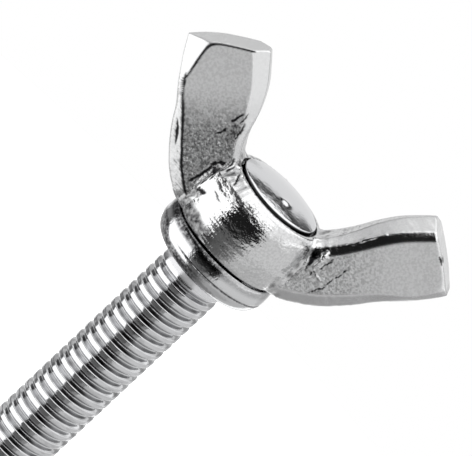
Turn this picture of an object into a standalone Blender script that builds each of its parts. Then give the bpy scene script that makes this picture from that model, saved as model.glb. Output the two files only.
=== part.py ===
"""Wing screw: a forged wing head, a collar under it and a threaded stud through both.

Metres, +Z up. The origin is on the screw's axis at the collar's underside, where the screw
seats. +Z points to the domed end, and the wings spread along X.
"""

import math

import bmesh
import bpy

MM = 0.001

# Fits between the pieces
SEAM_GAP = 0.13 * MM
FIT_GAP = 0.12 * MM

# Thread: M6 x 1, right hand
THREAD_R = 2.95 * MM
PITCH = 1.0 * MM
CREST_HALF = 0.08 * MM
ROOT_R = 2.41 * MM
FLANK_SLOPE = math.tan(math.radians(30))
NECK_R = 2.97 * MM
NECK_LENGTH = 1.37 * MM
STUD_LENGTH = 30.0 * MM
TIP_CHAMFER = 0.7 * MM
TIP_CLEARANCE = 0.3 * MM

# Collar
COLLAR_R = 5.34 * MM
COLLAR_HEIGHT = 2.66 * MM
COLLAR_SEAT_R = 4.4 * MM
COLLAR_TOP_R = 5.08 * MM
COLLAR_WIDEST_Z = 1.45 * MM

# Hub
HUB_R = 5.25 * MM
HUB_WIDEST_Z = 5.2 * MM
HUB_BOTTOM_Z = COLLAR_HEIGHT + SEAM_GAP
HUB_BOTTOM_R = 5.0 * MM
HUB_RIM_Z = 8.4 * MM
HUB_RIM_R = 4.3 * MM
COUNTERBORE_R = 4.03 * MM
COUNTERBORE_Z = 7.3 * MM

# Stud head and the splines that turn it with the hub
HEAD_R = 3.8 * MM
HEAD_BOTTOM_Z = COUNTERBORE_Z + FIT_GAP
HEAD_EDGE_Z = 8.35 * MM
HEAD_TOP_Z = 9.05 * MM
SPLINE_TEETH = 16
SPLINE_R = 3.25 * MM
SPLINE_BOTTOM_Z = 3.4 * MM
SPLINE_TOP_Z = 7.0 * MM
NECK_RELIEF = 0.15 * MM

# One wing, on the +X side, as sections from inside the hub to the tip. Each holds the lower
# edge's x and z, the upper edge's x and z, and half the thickness at the lower edge, over the
# flat face and at the upper edge, in millimetres.
WING_SECTIONS = (
    (3.4, 3.1, 3.4, 7.9, 1.5, 2.3, 1.1),
    (5.3, 2.85, 4.2, 8.35, 1.4, 2.2, 1.0),
    (7.0, 3.75, 4.7, 9.1, 1.2, 2.05, 0.85),
    (8.5, 5.0, 5.2, 9.9, 1.05, 1.95, 0.8),
    (9.9, 6.65, 5.7, 11.0, 0.95, 1.9, 0.75),
    (11.1, 8.4, 6.35, 12.4, 0.9, 1.85, 0.7),
    (12.5, 10.05, 7.35, 14.2, 0.85, 1.8, 0.65),
    (13.65, 11.55, 8.5, 15.6, 0.8, 1.7, 0.6),
    (14.35, 12.65, 9.3, 16.4, 0.8, 1.6, 0.6),
)
LOWER_BEVEL_SHARE = 0.2
UPPER_BEVEL_SHARE = 0.12

# The forging sits slightly out of square: from its foot up, the head leans towards +X
HEAD_LEAN = math.tan(math.radians(2))

# Plating colours
FORGED_COLOUR = (0.72, 0.73, 0.74)
COLLAR_COLOUR = (0.74, 0.75, 0.76)
STUD_COLOUR = (0.76, 0.77, 0.79)

TURNED_STEPS = 40
THREAD_STEPS = 20
ARC_STEPS = 5
SHOULDER_STEPS = 7
FOOT_STEPS = 4
DOME_STEPS = 8
OVERCUT = 1.0 * MM
MERGE = 0.00001
SHARP_ANGLE = math.radians(35)


def clear_scene():
    for obj in list(bpy.data.objects):
        bpy.data.objects.remove(obj, do_unlink=True)


def new_collection(name):
    collection = bpy.data.collections.new(name)
    bpy.context.scene.collection.children.link(collection)
    return collection


def new_object(name, bm, collection):
    """An object that holds this bmesh."""
    mesh = bpy.data.meshes.new(name)
    bm.to_mesh(mesh)
    bm.free()
    obj = bpy.data.objects.new(name, mesh)
    collection.objects.link(obj)
    return obj


def new_cutter(name, bm, collection):
    cutter = new_object(name, bm, collection)
    cutter.hide_render = True
    cutter.display_type = "WIRE"
    return cutter


def plated_steel(name, colour, roughness):
    material = bpy.data.materials.new(name)
    material.use_nodes = True
    shader = material.node_tree.nodes["Principled BSDF"]
    shader.inputs["Base Color"].default_value = (*colour, 1.0)
    shader.inputs["Metallic"].default_value = 1.0
    shader.inputs["Roughness"].default_value = roughness
    return material


def arc(centre, radii, start, end, steps=ARC_STEPS):
    """Points on a quarter or less of an ellipse in the XZ plane, angles in degrees from +X."""
    points = []
    for i in range(steps + 1):
        angle = math.radians(start + (end - start) * i / steps)
        points.append((centre[0] + radii[0] * math.cos(angle), centre[1] + radii[1] * math.sin(angle)))
    return points


def profile_mesh(points, closed=False):
    """The edges of a profile given as (radius, height) points."""
    bm = bmesh.new()
    verts = [bm.verts.new((r, 0.0, z)) for r, z in points]
    for a, b in zip(verts, verts[1:]):
        bm.edges.new((a, b))
    if closed:
        bm.edges.new((verts[-1], verts[0]))
    return bm


def add_screw(obj, steps=TURNED_STEPS, turns=1, rise=0.0):
    screw = obj.modifiers.new("turn", "SCREW")
    screw.axis = "Z"
    screw.angle = 2 * math.pi
    screw.steps = steps
    screw.render_steps = steps
    screw.iterations = turns
    screw.screw_offset = rise
    screw.use_merge_vertices = rise == 0.0
    screw.merge_threshold = MERGE


def add_boolean(obj, operation, other):
    boolean = obj.modifiers.new(operation.lower() + "_" + other.name, "BOOLEAN")
    boolean.operation = operation
    boolean.object = other
    boolean.solver = "EXACT"


def apply_modifiers(obj):
    """Turns the evaluated shape into the object's own mesh."""
    graph = bpy.context.evaluated_depsgraph_get()
    mesh = bpy.data.meshes.new_from_object(obj.evaluated_get(graph))
    obj.modifiers.clear()
    obj.data = mesh
    mesh.name = obj.name


def lean(obj, above=0.0):
    """Applies the modifiers, then shifts what is above this height as far as the head leans there."""
    apply_modifiers(obj)
    for vert in obj.data.vertices:
        if vert.co.z > above:
            vert.co.x += HEAD_LEAN * (vert.co.z - HUB_BOTTOM_Z)


def finish_piece(obj, material):
    """Applies the modifiers, shades the round faces smooth and sets the material."""
    apply_modifiers(obj)
    obj.data.shade_smooth()
    obj.data.set_sharp_from_angle(angle=SHARP_ANGLE)
    obj.data.materials.clear()
    obj.data.materials.append(material)


def turned_cutter(name, points, collection):
    cutter = new_cutter(name, profile_mesh(points, closed=True), collection)
    add_screw(cutter)
    return cutter


def spline_cutter(name, gap, bottom, top, collection):
    """A fluted prism: every other corner stands out to the spline radius."""
    bm = bmesh.new()
    bmesh.ops.create_cone(
        bm,
        cap_ends=True,
        segments=2 * SPLINE_TEETH,
        radius1=NECK_R + gap,
        radius2=NECK_R + gap,
        depth=top - bottom,
    )
    out = (SPLINE_R + gap) / (NECK_R + gap)
    for vert in bm.verts:
        tooth = round(math.atan2(vert.co.y, vert.co.x) / math.pi * SPLINE_TEETH)
        if tooth % 2:
            vert.co.x *= out
            vert.co.y *= out
        vert.co.z += (top + bottom) / 2
    return new_cutter(name, bm, collection)


def collar_profile():
    """The ring's section, down its outer side and back up its bore."""
    top_edge = arc(
        (COLLAR_TOP_R, COLLAR_WIDEST_Z),
        (COLLAR_R - COLLAR_TOP_R, COLLAR_HEIGHT - COLLAR_WIDEST_Z),
        90,
        0,
    )
    bottom_edge = arc((COLLAR_SEAT_R, COLLAR_WIDEST_Z), (COLLAR_R - COLLAR_SEAT_R, COLLAR_WIDEST_Z), 0, -90)
    bore = NECK_R + FIT_GAP
    return top_edge + bottom_edge[1:] + [(bore, 0.0), (bore, COLLAR_HEIGHT)]


def make_collar(collection, material):
    collar = new_object("collar", profile_mesh(collar_profile(), closed=True), collection)
    add_screw(collar)
    finish_piece(collar, material)


def hub_profile():
    """The solid hub, from the middle of its top down its outer side to the middle of its foot."""
    shoulder_radii = (HUB_R - HUB_RIM_R, HUB_RIM_Z - HUB_WIDEST_Z)
    shoulder = arc((HUB_RIM_R, HUB_WIDEST_Z), shoulder_radii, 90, 0, SHOULDER_STEPS)
    foot_radii = (HUB_R - HUB_BOTTOM_R, HUB_WIDEST_Z - HUB_BOTTOM_Z)
    foot = arc((HUB_BOTTOM_R, HUB_WIDEST_Z), foot_radii, 0, -90, FOOT_STEPS)
    return [(0.0, HUB_RIM_Z)] + shoulder + foot[1:] + [(0.0, HUB_BOTTOM_Z)]


def wing_section(side, lower_x, lower_z, upper_x, upper_z, lower_half, face_half, upper_half):
    """The eight corners of one section across a wing, in metres."""

    def along(share):
        x = lower_x + (upper_x - lower_x) * share
        return side * x * MM, (lower_z + (upper_z - lower_z) * share) * MM

    half_outline = (
        (along(0.0), lower_half * MM),
        (along(LOWER_BEVEL_SHARE), face_half * MM),
        (along(1.0 - UPPER_BEVEL_SHARE), face_half * MM),
        (along(1.0), upper_half * MM),
    )
    front = [(x, -half, z) for (x, z), half in half_outline]
    back = [(x, half, z) for (x, z), half in reversed(half_outline)]
    return front + back


def add_wing(bm, side):
    """The wing on this side, 1 or -1, lofted through its sections and closed at both ends."""
    rings = [[bm.verts.new(point) for point in wing_section(side, *row)] for row in WING_SECTIONS]
    corners = len(rings[0])
    for near, far in zip(rings, rings[1:]):
        for i in range(corners):
            j = (i + 1) % corners
            bm.faces.new((near[i], near[j], far[j], far[i]))
    bm.faces.new(rings[0])
    bm.faces.new(rings[-1])


def make_wings(cutters):
    """Both wings, as two bodies that the hub joins."""
    bm = bmesh.new()
    for side in (1, -1):
        add_wing(bm, side)
    bmesh.ops.recalc_face_normals(bm, faces=bm.faces)
    wings = new_cutter("wing_pair", bm, cutters)
    lean(wings)
    return wings


def make_counterbore(cutters):
    """The recess in the hub's top that the stud's head sits in."""
    top = HUB_RIM_Z + OVERCUT
    profile = ((0.0, top), (COUNTERBORE_R, top), (COUNTERBORE_R, COUNTERBORE_Z), (0.0, COUNTERBORE_Z))
    counterbore = turned_cutter("counterbore", profile, cutters)
    lean(counterbore)
    return counterbore


def make_wing_head(collection, cutters, material):
    head = new_object("wing_head", profile_mesh(hub_profile()), collection)
    add_screw(head)
    lean(head)
    add_boolean(head, "UNION", make_wings(cutters))
    bore_bottom = HUB_BOTTOM_Z - OVERCUT
    bore_top = COUNTERBORE_Z + OVERCUT / 2
    add_boolean(head, "DIFFERENCE", spline_cutter("splined_bore", FIT_GAP, bore_bottom, bore_top, cutters))
    add_boolean(head, "DIFFERENCE", make_counterbore(cutters))
    finish_piece(head, material)


def head_and_neck_profile():
    """The stud's domed head and plain neck, from the top of the dome to the neck's foot."""
    dome = arc((0.0, HEAD_EDGE_Z), (HEAD_R, HEAD_TOP_Z - HEAD_EDGE_Z), 90, 0, DOME_STEPS)
    return dome + [
        (HEAD_R, HEAD_BOTTOM_Z),
        (NECK_R - NECK_RELIEF, HEAD_BOTTOM_Z),
        (NECK_R, HEAD_BOTTOM_Z - 2 * NECK_RELIEF),
        (NECK_R, -NECK_LENGTH),
        (0.0, -NECK_LENGTH - NECK_R),
    ]


def thread_profile(foot):
    """One pitch of the thread, from this height up: root, flank, crest and flank."""
    flank = (THREAD_R - ROOT_R) * FLANK_SLOPE
    crest_start = foot + PITCH - 2 * CREST_HALF - flank
    return (
        (ROOT_R, foot),
        (ROOT_R, crest_start - flank),
        (THREAD_R, crest_start),
        (THREAD_R, crest_start + 2 * CREST_HALF),
        (ROOT_R, foot + PITCH),
    )


def close_end(bm, edges, height):
    """Closes an end of the swept thread with a fan of faces to a point on the axis."""
    apex = bm.verts.new((0.0, 0.0, height))
    for edge in edges:
        bm.faces.new((*edge.verts, apex))


def make_thread(cutters):
    """The threaded rod, swept along a right-hand helix from below the tip up into the neck."""
    turns = math.ceil((STUD_LENGTH - NECK_LENGTH) / PITCH) + 2
    top = -NECK_LENGTH + 1.5 * PITCH
    foot = top - (turns + 1) * PITCH
    thread = new_cutter("thread", profile_mesh(thread_profile(foot)), cutters)
    add_screw(thread, THREAD_STEPS, turns, PITCH)
    apply_modifiers(thread)
    bm = bmesh.new()
    bm.from_mesh(thread.data)
    bmesh.ops.remove_doubles(bm, verts=bm.verts, dist=MERGE)
    rims = [edge for edge in bm.edges if edge.is_boundary]
    middle = (foot + top) / 2
    close_end(bm, [edge for edge in rims if edge.verts[0].co.z < middle], foot - PITCH / 2)
    close_end(bm, [edge for edge in rims if edge.verts[0].co.z > middle], top + PITCH / 2)
    bmesh.ops.recalc_face_normals(bm, faces=bm.faces)
    bm.to_mesh(thread.data)
    bm.free()
    return thread


def make_tip_cutter(cutters):
    """Everything outside the chamfered tip."""
    tip = -STUD_LENGTH
    near = THREAD_R + TIP_CLEARANCE
    far = THREAD_R + OVERCUT
    high = tip + TIP_CHAMFER + TIP_CLEARANCE
    low = tip - 3 * OVERCUT
    profile = (
        (near, high),
        (far, high),
        (far, low),
        (0.0, low),
        (0.0, tip),
        (THREAD_R - TIP_CHAMFER, tip),
    )
    return turned_cutter("tip_cutter", profile, cutters)


def make_stud(collection, cutters, material):
    stud = new_object("threaded_stud", profile_mesh(head_and_neck_profile()), collection)
    add_screw(stud)
    lean(stud, above=HEAD_BOTTOM_Z - NECK_RELIEF)
    add_boolean(stud, "UNION", spline_cutter("splines", 0.0, SPLINE_BOTTOM_Z, SPLINE_TOP_Z, cutters))
    add_boolean(stud, "UNION", make_thread(cutters))
    add_boolean(stud, "DIFFERENCE", make_tip_cutter(cutters))
    finish_piece(stud, material)


def main():
    clear_scene()
    parts = new_collection("wing_screw")
    cutters = new_collection("cutters")
    make_wing_head(parts, cutters, plated_steel("forged_plating", FORGED_COLOUR, 0.28))
    make_collar(parts, plated_steel("collar_plating", COLLAR_COLOUR, 0.2))
    make_stud(parts, cutters, plated_steel("stud_plating", STUD_COLOUR, 0.18))


main()
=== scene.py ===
"""Studio scene of the plated steel wing screw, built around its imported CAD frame.

Metres in the frame; the shape functions below work in millimetres and MM turns one into the
other. +Z is the screw's axis, from the threaded tip to the domed end, and the wings spread
along X.
"""

import math

import bmesh
import bpy
import numpy as np
from mathutils import Matrix, Quaternion, Vector, noise


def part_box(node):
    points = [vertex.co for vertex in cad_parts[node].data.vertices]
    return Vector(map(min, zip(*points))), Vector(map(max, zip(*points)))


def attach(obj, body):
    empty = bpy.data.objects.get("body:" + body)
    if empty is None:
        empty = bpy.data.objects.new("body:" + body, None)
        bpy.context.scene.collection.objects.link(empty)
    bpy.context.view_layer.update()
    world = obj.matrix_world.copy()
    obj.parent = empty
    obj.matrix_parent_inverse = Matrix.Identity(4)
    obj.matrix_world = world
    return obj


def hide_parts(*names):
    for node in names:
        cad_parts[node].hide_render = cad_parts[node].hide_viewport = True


MM = 0.001

# Camera, in degrees and millimetres. It sees FIELD_WIDTH across at its target, and nothing
# nearer or further than its reach, which is in metres.
CAMERA_AZIMUTH = -6.0
CAMERA_ELEVATION = 18.5
CAMERA_ROLL = 46.8
CAMERA_TARGET = Vector((-0.38, 0.0, 4.07))
CAMERA_LENS = 400.0
SENSOR_WIDTH = 36.0
FIELD_WIDTH = 36.9
CAMERA_REACH = (0.01, 10.0)

# A white sheet a little below the stud's tip, which glows so that it looks white
FLOOR_RADIUS = 90.0
FLOOR_SIDES = 96
FLOOR_CLEARANCE = 0.05
FLOOR_COLOUR = (0.9, 0.9, 0.9)
FLOOR_ROUGHNESS = 0.9
FLOOR_GLOW = 0.6

# Gap between pieces that are pressed together
FIT_GAP = 0.12

# The head leans towards +X from the foot of the hub up
LEAN = math.tan(math.radians(2))

# Hub, a barrel between two ellipses, with the counterbore for the stud's head
HUB_R = 5.25
HUB_WIDEST_Z = 5.2
HUB_RIM_R = 4.3
HUB_RIM_Z = 8.4
HUB_FOOT_R = 5.0
COUNTERBORE_R = 4.03
COUNTERBORE_Z = 7.3
BORE_R = 3.1

# One wing's outline, on the +X side, from the root to the tip and back
OUTER_EDGE = (
    (3.4, 3.0),
    (5.3, 2.85),
    (7.0, 3.75),
    (8.5, 5.0),
    (9.9, 6.65),
    (11.1, 8.4),
    (12.5, 10.05),
    (13.65, 11.55),
    (14.35, 12.65),
)
INNER_EDGE = (
    (9.15, 16.4),
    (8.4, 15.6),
    (7.25, 14.2),
    (6.25, 12.4),
    (5.7, 11.0),
    (5.2, 9.9),
    (4.7, 9.1),
    (4.2, 8.35),
    (3.4, 7.4),
)
# How far the tip is bowed out, and where along the tip its points are
TIP_BULGE = 0.15
TIP_SHARES = (0.0, 0.25, 0.5, 0.75, 1.0)
# How far both inner edges are shifted towards +X, and the heights between which the shift grows
INNER_SHIFT = 0.12
INNER_SHIFT_HEIGHTS = (9.5, 12.0)
# Points of a curve for each point that it goes through
CURVE_STEPS = 8

# Half the wing's thickness over the flat face, which thins out towards the tip
FACE_HALF = 2.2
FACE_TAPER = 0.053
FACE_START = 7.3

# Width of the bevels along the edges, by how far out along the wing, for the wings on the
# -X and +X sides, and how steeply they fall away from the face
BEVEL_REACHES = (6.0, 8.0, 10.0, 12.0, 14.0, 15.5, 16.5, 18.3)
OUTER_WIDTHS = {
    -1: (1.0, 1.1, 1.15, 0.95, 0.55, 0.45, 0.95, 1.75),
    1: (1.0, 1.1, 1.1, 1.0, 0.8, 0.6, 0.5, 0.6),
}
INNER_WIDTHS = {
    -1: (0.35, 0.4, 0.45, 0.6, 0.95, 1.05, 1.1, 1.2),
    1: (0.4, 0.45, 0.5, 0.65, 0.8, 0.85, 0.85, 0.85),
}
OUTER_SLOPES = (0.5, 0.5, 0.5, 0.5, 0.55, 0.8, 0.85, 0.85)
INNER_SLOPES = {-1: 1.0, 1: 1.35}
TIP_SLOPE = 1.5
TIP_WIDTH = 0.1
# On the +X wing the face rolls off gently before its inner bevel. The -X wing has no roll-off,
# so there its limit stays 1 mm above the face.
ROLL_WIDTH = 0.68
ROLL_SLOPE = 0.27
NO_ROLL = -1.0

# How widely the edges, corners and joints are rounded
CORNER_ROUND = 1.1
EDGE_ROUND = 0.12
FACE_ROUND = 0.1
ROOT_FILLET = 0.55
RIM_ROUND = 0.1

# Folds and nicks that the forging left on the front, as x and z of one end, x and z of the
# other, half width and depth. Those with a depth below 0 are ridges.
FOLDS = (
    # the -X wing's root and the hub beside it
    (-5.82, 4.75, -5.7, 5.5, 0.14, 0.1),
    (-5.7, 5.5, -5.45, 6.0, 0.14, 0.1),
    (-5.45, 6.0, -5.44, 7.0, 0.14, 0.1),
    (-5.44, 7.0, -5.3, 7.45, 0.14, 0.1),
    (-5.3, 7.45, -4.77, 7.9, 0.14, 0.1),
    (-5.15, 7.1, -4.9, 6.7, 0.2, 0.1),
    (-4.85, 7.4, -4.85, 6.3, 0.08, 0.1),
    (-4.55, 8.75, -4.45, 7.8, 0.07, 0.08),
    (-4.2, 8.3, -4.2, 7.45, 0.07, 0.08),
    (-4.8, 6.1, -4.78, 5.5, 0.09, 0.08),
    (-4.75, 4.85, -4.05, 5.5, 0.12, 0.08),
    (-4.5, 6.8, -4.4, 6.3, 0.1, 0.07),
    (-3.95, 7.25, -3.3, 7.2, 0.05, 0.03),
    (-4.05, 6.8, -3.1, 6.75, 0.05, 0.03),
    (-3.85, 6.2, -2.9, 6.05, 0.05, 0.03),
    (-3.5, 8.3, -3.2, 7.6, 0.08, 0.06),
    (-4.1, 8.5, -3.7, 8.55, 0.1, 0.07),
    # the -X wing's face and outer edge
    (-6.64, 11.7, -6.85, 10.55, 0.08, 0.06),
    (-6.7, 10.1, -7.0, 8.95, 0.07, 0.06),
    (-5.95, 11.2, -5.6, 9.55, 0.08, 0.07),
    (-6.35, 12.0, -6.2, 10.85, 0.06, 0.05),
    (-12.0, 10.7, -10.95, 9.2, 0.12, 0.05),
    (-9.85, 7.6, -8.55, 6.05, 0.13, 0.02),
    # the +X wing's root
    (5.1, 8.1, 5.4, 6.9, 0.16, 0.12),
    (4.81, 8.1, 5.55, 6.2, 0.1, 0.12),
    (5.4, 8.8, 5.4, 7.4, 0.08, 0.1),
    (5.72, 8.5, 5.85, 7.0, 0.18, -0.16),
    (5.9, 6.75, 7.0, 6.45, 0.11, -0.1),
    (5.95, 6.55, 6.1, 6.4, 0.07, 0.06),
    # the +X wing's face, its rolled edge and its tip
    (6.45, 8.5, 6.22, 7.3, 0.06, 0.05),
    (7.75, 8.9, 7.4, 5.9, 0.045, 0.05),
    (7.5, 6.4, 6.9, 5.2, 0.05, 0.03),
    (7.85, 12.9, 6.35, 10.2, 0.09, -0.09),
    (12.0, 14.75, 12.6, 14.3, 0.09, 0.08),
)

# How far noise shifts the folds, how deep their ends are as a share of their depth, the
# shares of it at which their painted shade starts and is full, and how far forward the front is
FOLD_WOBBLE = 0.12
FOLD_END_SHARE = 0.4
FOLD_SHADE = (0.1, 0.6)
FOLD_FRONT = (0.5, 1.0)

# Noise over the forging and the stud: wavelengths and a seed. On the hub the wavelengths run
# along its girth, outwards and up, and elsewhere along x, y and z.
HUB_RIPPLE = ((2.4, 3.0, 0.5), 3.7)
HUB_WRINKLES = ((0.45, 2.0, 2.5), 51.7)
DENTS = ((1.6, 1.6, 1.6), 11.3)
ROOT_CREASES = ((0.45, 0.8, 2.4), 5.1)
ROOT_CRUMPLE = ((0.8, 0.8, 0.8), 8.9)
BLOTCHES = ((1.1, 1.1, 1.1), 41.3)
CRUMBS = ((0.35, 0.35, 0.35), 61.9)
WING_GRAINS = ((0.4, 0.4, 0.4), 17.9)
FOLD_WOBBLE_X = ((0.5, 0.5, 0.5), 23.1)
FOLD_WOBBLE_Z = ((0.5, 0.5, 0.5), 29.7)
THREAD_WAVES = ((0.9, 0.9, 0.35), 71.3)
THREAD_SHADE_NOISE = ((0.8, 0.8, 0.4), 67.7)

# How far each mark stands out of the forging's plain shape
MARK_HEIGHTS = {
    "ripple": 0.014,
    "dents": 0.018,
    "creases": 0.09,
    "crumple": 0.08,
    "grains": 0.02,
    "swell": 0.24,
    "wrinkles": 0.05,
    "bulge": 0.3,
    "fold": -1.0,
}

# Zones of the forging. Two values are where a zone starts and where it is full, and four
# are where it starts, is full, starts to fade and ends. Turns are degrees round the axis,
# from the front towards +X.
WING_CLEARANCE = (0.1, 0.6)
ROOT_WIDTH = 0.7
ROOT_FROM_X = (3.9, 4.6)
LOW_HALF = (15.5, 10.5)
FACE_INSET = (0.0, 0.08)
FACE_SKIN = (0.05, 0.0)
ROLL_BELOW_FACE = (0.04, -0.02)
ROLL_ABOVE_BEVEL = (-0.05, 0.02)
SWELL_TURNS = (-88, -62, -48, -8)
SWELL_HEIGHTS = (2.3, 3.4, 7.3, 8.3)
WRINKLE_TURNS = (-12, -30)
WRINKLE_HEIGHTS = (6.7, 7.4)
LOBE_ACROSS = (-5.5, -5.35, -3.6, -3.0)
LOBE_HEIGHTS = (4.6, 5.2, 7.1, 7.6)
BULGE_ACROSS = (-5.5, -5.0, -4.8, -3.6)
SKIRT_TURNS = (-150, -110, -30, -5)
SKIRT_HEIGHTS = (4.3, 3.9)

# Satin: off the wings' flat faces, and how much of it wears off the low half of each wing
EDGE_SATIN = 0.3
WEAR = {-1: 0.9, 1: 0.4}
WEAR_BLOTCHES = 0.35

# Darkening painted into the forging's colour: painted shade on the line round the -X wing's
# face, by how far out along the wing, in the roots' valleys and the hub's wrinkles, over the -X
# wing's low half and on a skirt low on the hub's left, and darker metal on a patch beside the -X
# wing's inner bevel and on the +X wing's outer bevel
LINE_REACHES = (15, 17)
LINE_WIDTHS = (0.07, 0.1)
LINE_DEPTHS = (0.25, 0.1)
LINE_SHADE = 1.3
VALLEY_DEPTHS = (0.05, -0.45)
VALLEY_SHADE = 0.72
PATCH_GAP = 1.0
PATCH_REACH = 11.9
PATCH_HALF_WIDTH = 0.6
PATCH_HALF_LENGTH = 1.5
PATCH_BREAKS = (-0.25, 0.3)
PATCH_DARKENING = 0.54
WRINKLE_DEPTHS = (-0.1, 0.35)
WRINKLE_SHADE = 0.4
LOW_HALF_SHADE = 0.19
BEVEL_DEPTHS = (0.0, 0.1)
BEVEL_DARKENING = 0.2
SKIRT_BLOTCHES = 0.25
SKIRT_RIPPLE = 0.2
SKIRT_SHADE = 0.76
SKIRT_CRUMBS = 0.3

# Grain, as a share of the most
FACE_GRAIN = 0.2
LOW_GRAIN = {-1: 0.8, 1: 0.55}
HUB_GRAIN = 0.2
ROLL_GRAIN = 0.12

# Grid over a wing's plane on which the distances from its edges are worked out. It is read
# up to GRID_MARGIN cells short of its size, and the edges run straight on past their ends.
GRID_STEP = 0.05
GRID_SIZE = (17.0, 19.0)
GRID_MARGIN = 1.001
RUN_ON = 4.0

# Rebuilding a shape: size of the new mesh's squares, how far inside the CAD node's box the
# pieces stay, and the steps that move points onto the surface
VOXEL = 0.102
INSET = 0.001
PROJECT_STEPS = 5
PROBE = 0.02
LONGEST_STEP = 0.3
LEAST_SLOPE = 0.05

# Distances at which points are welded and slivers dropped, and guards against dividing by
# nothing and against rounding
WELD = 0.002
SLIVER = 0.0005
TINY = 1e-9
HAIR = 0.01

# Stud: the head, with a small raised pip on its dome
HEAD_R = 3.8
HEAD_EDGE_Z = 8.62
HEAD_EDGE_ROUND = 0.12
HEAD_EDGE_TURN = 75
HEAD_EDGE_STEPS = 4
HEAD_BOTTOM = COUNTERBORE_Z + FIT_GAP
DOME_STEPS = 32
PIP_PLACE = (0.5, -1.5)
PIP_R = 0.42
PIP_HEIGHT = 0.1
SHANK_R = 2.97
SHANK_START = 0.15

# Stud: the neck and the thread
NECK_R = 2.87
THREAD_R = 2.95
ROOT_R = 2.56
PITCH = 1.0
FLANK_ANGLE = 60
CREST_HALF = 0.21
THREAD_ROUND = 0.05
THREAD_PHASE = 0.15
RUN_OUT_START = -0.75
RUN_OUT_END = -2.1
TIP_CHAMFER = 0.7
COLUMNS = 96
ROWS_PER_PITCH = 20

# Stud: how far the thread's radius wavers, as a share of it, where that and the painted shade
# start below the seat, and how far above the tip they stop
THREAD_WAVER = 0.004
WORN_FROM = (-1.2, -1.8)
WORN_ABOVE_TIP = 0.5

# Stud: satin on the neck, grain on the front of the dome, and painted shade round the head's rim,
# on the thread's flanks, most of all in front, and in its roots
NECK_HEIGHTS = (-1.3, -0.9)
NECK_TOP = 0.1
DOME_GRAIN_FROM_Y = (-1.2, -2.4)
RIM_HEIGHTS = (HEAD_EDGE_Z - 0.02, HEAD_EDGE_Z - 0.12)
FLANK_RADII = (ROOT_R - 0.01, ROOT_R + 0.1, THREAD_R - 0.06, THREAD_R)
FLANK_SHADE = 0.42
FLANK_SHADE_SPREAD = 0.4
FRONT_TURNS = (-32, -14, 6, 28)
FRONT_SHADE = 0.35
ROOT_RADII = (ROOT_R + 0.1, ROOT_R)
ROOT_SHADE = 0.35

# Collar, with a groove round it that fades out on the left
COLLAR_SEAT_R = 4.4
COLLAR_TOP_R = 5.08
COLLAR_WIDEST_Z = 1.45
COLLAR_TOP_STEPS = 24
COLLAR_SIDE_STEPS = 60
COLLAR_COLUMNS = 240
GROOVE_DEPTH = 0.06
GROOVE_Z = 1.2
GROOVE_HALF = 0.06
GROOVE_TURNS = (-40, -15)

# Collar: painted shade under the hub, most of it on the left, low on the left and in the groove
UPPER_SHADE = 0.35
UPPER_TURNS = (-130, -90, 0, 25)
UPPER_DEPTHS = (0.85, 0.45)
LOWER_TURNS = (10, -12)
LOWER_HEIGHTS = (0.95, 0.75)
LOWER_RISE = 0.65
LOWER_RISE_TURNS = (-42, -62)
GROOVE_SHADE = 3.0

# The three steels, bare and where painted shade darkens them, with dust too on the forging
FORGED_BARE = (0.82, 0.823, 0.828)
FORGED_SHADE_AND_DUST = (0.015, 0.015, 0.016)
TURNED_BARE = (0.76, 0.765, 0.775)
TURNED_PAINTED_SHADE = (0.07, 0.07, 0.073)
ROLLED_BARE = (0.77, 0.775, 0.79)
ROLLED_PAINTED_SHADE = (0.03, 0.03, 0.03)

# Their roughness, what noise of these wavelengths and full satin add to it, and what full
# satin takes off their metallic look
FORGED_WAVELENGTH = 0.5
FORGED_ROUGHNESS = 0.06
FORGED_ROUGHNESS_NOISE = 0.08
FORGED_SATIN_ROUGHNESS = 0.5
FORGED_SATIN_DULLING = 0.4
PLAIN_WAVELENGTH = 0.6
TURNED_ROUGHNESS = 0.08
TURNED_ROUGHNESS_NOISE = 0.1
ROLLED_ROUGHNESS = 0.05
ROLLED_ROUGHNESS_NOISE = 0.1
ROLLED_SATIN_ROUGHNESS = 0.1
ROLLED_SATIN_DULLING = 0.5

# Dust on the forged steel: the values of the noise between which it gathers, and how much
# of it there is everywhere, with full grain and with full satin
DUST_WAVELENGTH = 0.2
DUST_DETAIL = 4.0
DUST_NOISE = (0.4, 0.62)
DUST = 0.03
GRAIN_DUST = 0.42
SATIN_DUST = 0.12

# Specks in the collar's painted shade: the values of the noise between which the shade grows
# from its least to all of it
SPECK_WAVELENGTH = 0.22
SPECK_NOISE = (0.3, 0.6)
SPECK_LEAST = 0.6

# Bumps too small for geometry, as wavelength and depth, and the detail of the finest ones
FINE_DETAIL = 2.0
HUB_WAVES = (1.1, 0.006)
GRAIN_BUMPS = ((0.3, 0.1), (0.17, 0.06))
FORGED_BUMPS = (0.18, 0.008)
TURNED_BUMPS = (0.25, 0.02)
ROLLED_BUMPS = (0.3, 0.01)
DOME_BUMPS = (0.25, 0.012)

# How far noise is squashed along x, y and z, and the streaks round the hub, which turn the
# light aside by this much
HUB_WAVE_STRETCH = (1, 1, 0.22)
STREAK_STRETCH = (1, 1, 0.1)
STREAK_WAVELENGTH = 1.6
STREAK_STRENGTH = 0.5


# ---------------------------------------------------------------- shape functions


def smooth_min(a, b, radius):
    """The smaller of two values, rounded over where they meet."""
    blend = np.maximum(radius - np.abs(a - b), 0.0) / radius
    return np.minimum(a, b) - blend**2 * radius / 4


def smooth_max(a, b, radius):
    """The larger of two values, rounded over where they meet."""
    return -smooth_min(-a, -b, radius)


def smooth_step(low, high, value):
    """0 at low and 1 at high, with a smooth climb between them. Low may be the larger one."""
    t = np.clip((value - low) / (high - low), 0.0, 1.0)
    return t * t * (3 - 2 * t)


def window(corners, value):
    """1 between the middle two of four rising values, and 0 outside the outer two."""
    start, full, fade, end = corners
    return smooth_step(start, full, value) * smooth_step(end, fade, value)


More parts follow.
